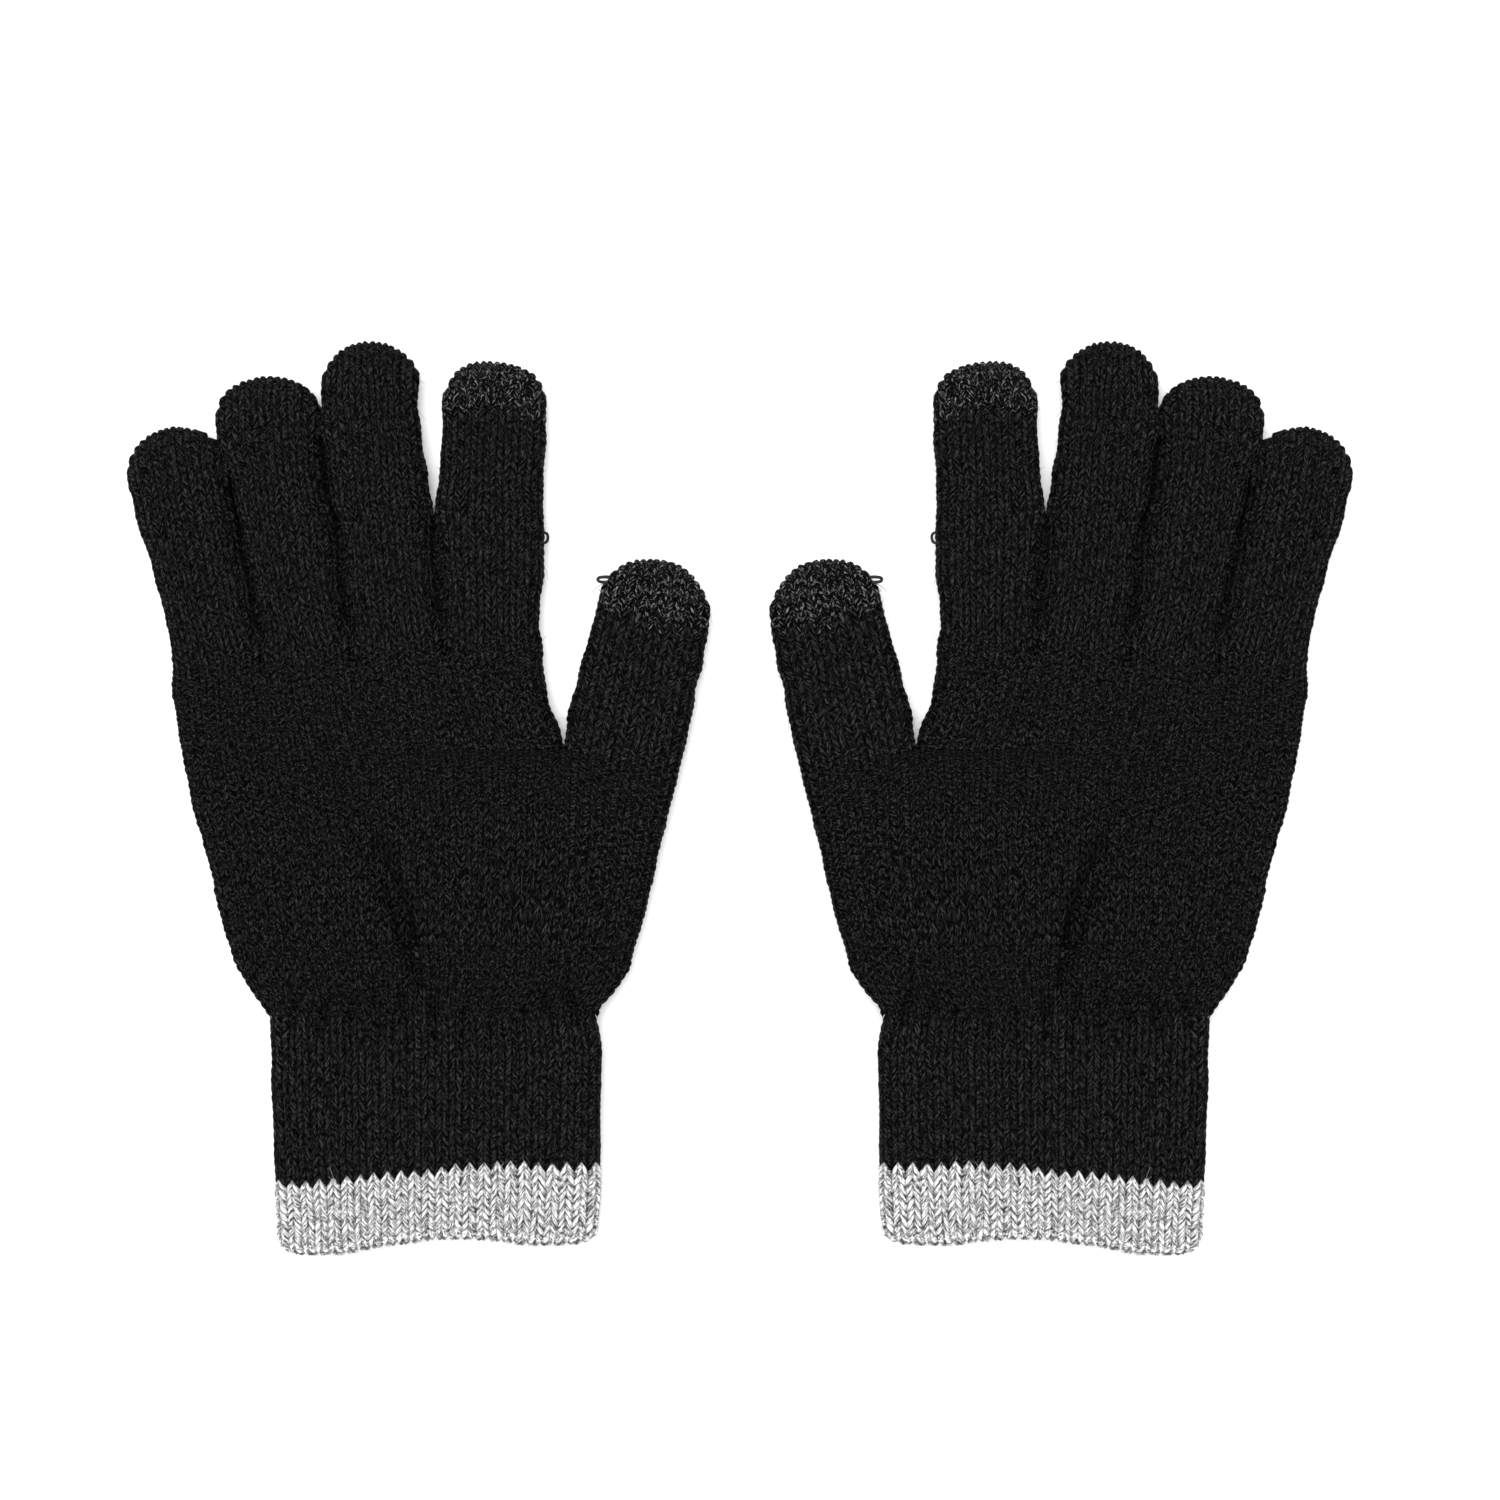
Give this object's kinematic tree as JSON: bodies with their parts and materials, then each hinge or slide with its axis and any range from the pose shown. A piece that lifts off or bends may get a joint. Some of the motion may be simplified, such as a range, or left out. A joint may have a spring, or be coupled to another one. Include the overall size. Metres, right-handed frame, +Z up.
{
  "type": "pair of knitted touchscreen gloves",
  "caption": "Black knitted gloves laid flat with the palms up: ribbed cuffs that end in grey marl bands, and conductive marl tips on the index fingers and thumbs for touchscreens.",
  "frame": {"origin": "middle of the pair's outline, on the flat surface that the gloves lie on", "axes": "+X across the pair, from the right hand's glove to the left hand's, +Y from the cuffs to the fingertips, +Z up out of the palms"},
  "size_m": [0.2882, 0.2148, 0.011],
  "materials": {
    "black_yarn": "matte",
    "grey_marl_yarn": "matte",
    "touch_yarn": "matte",
    "elastic": "matte"
  },
  "bodies": {
    "right_palm": {"right_palm_lower": "black_yarn", "right_palm_upper": "black_yarn"},
    "right_cuff": {"right_cuff_rib": "black_yarn", "right_cuff_band": "grey_marl_yarn", "right_cuff_welt": "grey_marl_yarn", "right_cuff_elastic": "elastic"},
    "right_index_lower": {"right_index_base": "black_yarn"},
    "right_index_upper": {"right_index_end": "black_yarn", "right_index_touch_tip": "touch_yarn"},
    "right_middle_lower": {"right_middle_base": "black_yarn"},
    "right_middle_upper": {"right_middle_end": "black_yarn"},
    "right_ring_lower": {"right_ring_base": "black_yarn"},
    "right_ring_upper": {"right_ring_end": "black_yarn"},
    "right_little_lower": {"right_little_base": "black_yarn"},
    "right_little_upper": {"right_little_end": "black_yarn"},
    "right_thumb_lower": {"right_thumb_base": "black_yarn"},
    "right_thumb_upper": {"right_thumb_end": "black_yarn", "right_thumb_touch_tip": "touch_yarn"},
    "left_palm": {"left_palm_lower": "black_yarn", "left_palm_upper": "black_yarn"},
    "left_cuff": {"left_cuff_rib": "black_yarn", "left_cuff_band": "grey_marl_yarn", "left_cuff_welt": "grey_marl_yarn", "left_cuff_elastic": "elastic"},
    "left_index_lower": {"left_index_base": "black_yarn"},
    "left_index_upper": {"left_index_end": "black_yarn", "left_index_touch_tip": "touch_yarn"},
    "left_middle_lower": {"left_middle_base": "black_yarn"},
    "left_middle_upper": {"left_middle_end": "black_yarn"},
    "left_ring_lower": {"left_ring_base": "black_yarn"},
    "left_ring_upper": {"left_ring_end": "black_yarn"},
    "left_little_lower": {"left_little_base": "black_yarn"},
    "left_little_upper": {"left_little_end": "black_yarn"},
    "left_thumb_lower": {"left_thumb_base": "black_yarn"},
    "left_thumb_upper": {"left_thumb_end": "black_yarn", "left_thumb_touch_tip": "touch_yarn"}
  },
  "joints": [
    {"name": "right_wrist_fold", "type": "hinge", "parent": "right_palm", "child": "right_cuff", "pos_m": [-0.0717, -0.05188, 0.01], "axis": [-1, 0, 0], "range_deg": [0, 70]},
    {"name": "right_index_knuckle", "type": "hinge", "parent": "right_palm", "child": "right_index_lower", "pos_m": [-0.05842, 0.03574, 0.01], "axis": [0.9969, 0.0785, 0], "range_deg": [0, 90]},
    {"name": "right_index_fold", "type": "hinge", "parent": "right_index_lower", "child": "right_index_upper", "pos_m": [-0.05879, 0.06179, 0.01], "axis": [0.9969, 0.0785, 0], "range_deg": [0, 100]},
    {"name": "right_middle_knuckle", "type": "hinge", "parent": "right_palm", "child": "right_middle_lower", "pos_m": [-0.08055, 0.034, 0.01], "axis": [0.9969, 0.0785, 0], "range_deg": [0, 90]},
    {"name": "right_middle_fold", "type": "hinge", "parent": "right_middle_lower", "child": "right_middle_upper", "pos_m": [-0.08436, 0.05978, 0.01], "axis": [0.9969, 0.0785, 0], "range_deg": [0, 100]},
    {"name": "right_ring_knuckle", "type": "hinge", "parent": "right_palm", "child": "right_ring_lower", "pos_m": [-0.10223, 0.03229, 0.01], "axis": [0.9969, 0.0785, 0], "range_deg": [0, 90]},
    {"name": "right_ring_fold", "type": "hinge", "parent": "right_ring_lower", "child": "right_ring_upper", "pos_m": [-0.108, 0.05791, 0.01], "axis": [0.9969, 0.0785, 0], "range_deg": [0, 100]},
    {"name": "right_little_knuckle", "type": "hinge", "parent": "right_palm", "child": "right_little_lower", "pos_m": [-0.12331, 0.03063, 0.01], "axis": [0.9969, 0.0785, 0], "range_deg": [0, 90]},
    {"name": "right_little_fold", "type": "hinge", "parent": "right_little_lower", "child": "right_little_upper", "pos_m": [-0.12991, 0.05619, 0.01], "axis": [0.9969, 0.0785, 0], "range_deg": [0, 100]},
    {"name": "right_thumb_knuckle", "type": "hinge", "parent": "right_palm", "child": "right_thumb_lower", "pos_m": [-0.02813, 0.00812, 0.011], "axis": [0.9799, -0.1994, 0], "range_deg": [0, 60]},
    {"name": "right_thumb_fold", "type": "hinge", "parent": "right_thumb_lower", "child": "right_thumb_upper", "pos_m": [-0.02379, 0.02948, 0.01], "axis": [0.9799, -0.1994, 0], "range_deg": [0, 80]},
    {"name": "left_glove_apart", "type": "slide", "parent": "right_palm", "child": "left_palm", "axis": [1, 0, 0], "range_m": [-0.012, 0.15]},
    {"name": "left_wrist_fold", "type": "hinge", "parent": "left_palm", "child": "left_cuff", "pos_m": [0.0717, -0.05188, 0.01], "axis": [-1, 0, 0], "range_deg": [0, 70]},
    {"name": "left_index_knuckle", "type": "hinge", "parent": "left_palm", "child": "left_index_lower", "pos_m": [0.05842, 0.03574, 0.01], "axis": [0.9969, -0.0785, 0], "range_deg": [0, 90]},
    {"name": "left_index_fold", "type": "hinge", "parent": "left_index_lower", "child": "left_index_upper", "pos_m": [0.05879, 0.06179, 0.01], "axis": [0.9969, -0.0785, 0], "range_deg": [0, 100]},
    {"name": "left_middle_knuckle", "type": "hinge", "parent": "left_palm", "child": "left_middle_lower", "pos_m": [0.08055, 0.034, 0.01], "axis": [0.9969, -0.0785, 0], "range_deg": [0, 90]},
    {"name": "left_middle_fold", "type": "hinge", "parent": "left_middle_lower", "child": "left_middle_upper", "pos_m": [0.08436, 0.05978, 0.01], "axis": [0.9969, -0.0785, 0], "range_deg": [0, 100]},
    {"name": "left_ring_knuckle", "type": "hinge", "parent": "left_palm", "child": "left_ring_lower", "pos_m": [0.10223, 0.03229, 0.01], "axis": [0.9969, -0.0785, 0], "range_deg": [0, 90]},
    {"name": "left_ring_fold", "type": "hinge", "parent": "left_ring_lower", "child": "left_ring_upper", "pos_m": [0.108, 0.05791, 0.01], "axis": [0.9969, -0.0785, 0], "range_deg": [0, 100]},
    {"name": "left_little_knuckle", "type": "hinge", "parent": "left_palm", "child": "left_little_lower", "pos_m": [0.12331, 0.03063, 0.01], "axis": [0.9969, -0.0785, 0], "range_deg": [0, 90]},
    {"name": "left_little_fold", "type": "hinge", "parent": "left_little_lower", "child": "left_little_upper", "pos_m": [0.12991, 0.05619, 0.01], "axis": [0.9969, -0.0785, 0], "range_deg": [0, 100]},
    {"name": "left_thumb_knuckle", "type": "hinge", "parent": "left_palm", "child": "left_thumb_lower", "pos_m": [0.02813, 0.00812, 0.011], "axis": [0.9799, 0.1994, 0], "range_deg": [0, 60]},
    {"name": "left_thumb_fold", "type": "hinge", "parent": "left_thumb_lower", "child": "left_thumb_upper", "pos_m": [0.02379, 0.02948, 0.01], "axis": [0.9799, 0.1994, 0], "range_deg": [0, 80]}
  ]
}
